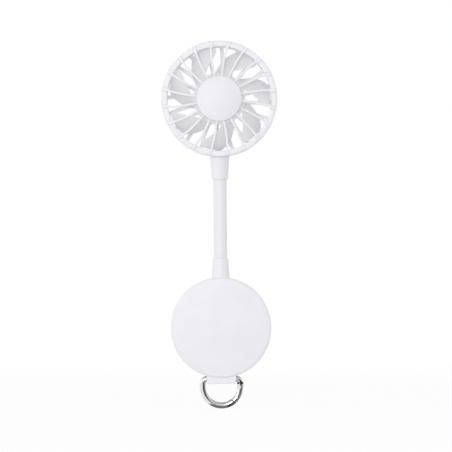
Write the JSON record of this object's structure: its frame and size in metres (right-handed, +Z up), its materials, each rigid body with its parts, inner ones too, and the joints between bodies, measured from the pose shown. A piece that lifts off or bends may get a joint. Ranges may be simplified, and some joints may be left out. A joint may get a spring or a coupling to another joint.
{
  "type": "phone fan",
  "caption": "Slim pocket fan: a caged fan head on a bendable neck, above a flat round base with a soft phone face, a tab and a sprung D-ring.",
  "frame": {"origin": "centre of the base disc's rear face, where the phone lies", "axes": "+Z up along the straight neck towards the fan head, +Y out of the rear face towards the phone, -Y the way the fan blows, +X to the right as seen from the front"},
  "size_m": [0.075, 0.0293, 0.2383],
  "materials": {
    "shell_white": "smooth satin white moulded plastic",
    "fan_white": "satin white moulded plastic",
    "neck_white": "smooth matt white silicone sleeve",
    "pad_grey": "soft matt pale grey pad",
    "ring_chrome": "polished nickel plate",
    "plain_steel": "plain zinc-plated steel",
    "magnet_dark": "dark sintered magnet and ferrite",
    "battery_wrap": "silver pouch foil",
    "foam_black": "black self-adhesive foam",
    "board_green": "green solder mask",
    "part_black": "black moulded plastic",
    "lead_red": "twin lead insulation",
    "clear_lens": "clear polished plastic",
    "ferrule_brass": "turned brass",
    "winding_copper": "enamelled copper winding on its core"
  },
  "bodies": {
    "base": {"front_cover": "shell_white", "rear_cover": "shell_white", "rear_pad": "pad_grey", "cover_screw_1": "plain_steel", "cover_screw_2": "plain_steel", "cover_screw_3": "plain_steel", "cover_screw_4": "plain_steel", "magnet_ring": "magnet_dark", "magnet_plate": "plain_steel", "battery_foam": "foam_black", "battery": "battery_wrap", "battery_lead": "lead_red", "circuit_board": "board_green", "usb_socket": "plain_steel", "push_switch": "part_black", "control_chip": "part_black", "choke_coil": "magnet_dark", "status_light": "clear_lens", "light_pipe": "clear_lens", "lower_collar": "shell_white", "lower_ferrule": "ferrule_brass", "base_lead": "lead_red", "neck_lead": "lead_red", "neck_sleeve_1": "neck_white", "neck_core_1": "plain_steel"},
    "neck_2": {"neck_sleeve_2": "neck_white", "neck_core_2": "plain_steel"},
    "neck_3": {"neck_sleeve_3": "neck_white", "neck_core_3": "plain_steel"},
    "neck_4": {"neck_sleeve_4": "neck_white", "neck_core_4": "plain_steel"},
    "neck_5": {"neck_sleeve_5": "neck_white", "neck_core_5": "plain_steel"},
    "neck_6": {"neck_sleeve_6": "neck_white", "neck_core_6": "plain_steel"},
    "neck_7": {"neck_sleeve_7": "neck_white", "neck_core_7": "plain_steel"},
    "neck_8": {"neck_sleeve_8": "neck_white", "neck_core_8": "plain_steel"},
    "head": {"neck_sleeve_9": "neck_white", "neck_core_9": "plain_steel", "upper_collar": "shell_white", "upper_ferrule": "ferrule_brass", "head_lead": "lead_red", "front_guard": "shell_white", "centre_cap": "shell_white", "rear_guard": "shell_white", "motor_can": "plain_steel", "motor_bush": "ferrule_brass", "motor_magnet": "magnet_dark", "motor_end_bell": "part_black"},
    "fan": {"impeller": "fan_white", "motor_shaft": "plain_steel", "motor_armature": "winding_copper"},
    "button": {"power_button": "shell_white"},
    "ring": {"ring_bow": "ring_chrome", "gate_pin": "plain_steel"},
    "gate": {"ring_gate": "ring_chrome", "gate_plunger": "plain_steel", "gate_spring": "plain_steel"}
  },
  "joints": [
    {"name": "neck_bend_1", "type": "hinge", "parent": "base", "child": "neck_2", "pos_m": [0, -0.0065, 0.0472], "axis": [1, 0, 0], "range_deg": [-20, 20], "deforming": ["neck_lead"]},
    {"name": "neck_lean_1", "type": "hinge", "parent": "neck_2", "child": "neck_3", "pos_m": [0, -0.0065, 0.05377], "axis": [0, 1, 0], "range_deg": [-15, 15]},
    {"name": "neck_bend_2", "type": "hinge", "parent": "neck_3", "child": "neck_4", "pos_m": [0, -0.0065, 0.06034], "axis": [1, 0, 0], "range_deg": [-20, 20]},
    {"name": "neck_lean_2", "type": "hinge", "parent": "neck_4", "child": "neck_5", "pos_m": [0, -0.0065, 0.06691], "axis": [0, 1, 0], "range_deg": [-15, 15]},
    {"name": "neck_bend_3", "type": "hinge", "parent": "neck_5", "child": "neck_6", "pos_m": [0, -0.0065, 0.07349], "axis": [1, 0, 0], "range_deg": [-20, 20]},
    {"name": "neck_lean_3", "type": "hinge", "parent": "neck_6", "child": "neck_7", "pos_m": [0, -0.0065, 0.08006], "axis": [0, 1, 0], "range_deg": [-15, 15]},
    {"name": "neck_bend_4", "type": "hinge", "parent": "neck_7", "child": "neck_8", "pos_m": [0, -0.0065, 0.08663], "axis": [1, 0, 0], "range_deg": [-20, 20]},
    {"name": "neck_lean_4", "type": "hinge", "parent": "neck_8", "child": "head", "pos_m": [0, -0.0065, 0.0932], "axis": [0, 1, 0], "range_deg": [-15, 15]},
    {"name": "fan_spin", "type": "hinge", "parent": "head", "child": "fan", "pos_m": [0, -0.0065, 0.1483], "axis": [0, -1, 0], "continuous": true},
    {"name": "button_press", "type": "slide", "parent": "base", "child": "button", "axis": [-1, 0, 0], "range_m": [0, 0.0005], "stiffness_N_per_m": 800, "springref_m": -0.0003},
    {"name": "ring_swing", "type": "hinge", "parent": "base", "child": "ring", "pos_m": [0, -0.0065, -0.0334], "axis": [1, 0, 0], "range_deg": [-90, 90]},
    {"name": "gate_open", "type": "hinge", "parent": "ring", "child": "gate", "pos_m": [0.01215, -0.0065, -0.0383], "axis": [0, 1, 0], "range_deg": [0, 34], "stiffness_Nm_per_rad": 0.01, "springref_deg": -20.05}
  ],
  "couplings": [
    {"joint": "neck_bend_2", "follows": "neck_bend_1", "ratio": 1},
    {"joint": "neck_bend_3", "follows": "neck_bend_1", "ratio": 1},
    {"joint": "neck_bend_4", "follows": "neck_bend_1", "ratio": 1},
    {"joint": "neck_lean_2", "follows": "neck_lean_1", "ratio": 1},
    {"joint": "neck_lean_3", "follows": "neck_lean_1", "ratio": 1},
    {"joint": "neck_lean_4", "follows": "neck_lean_1", "ratio": 1}
  ]
}
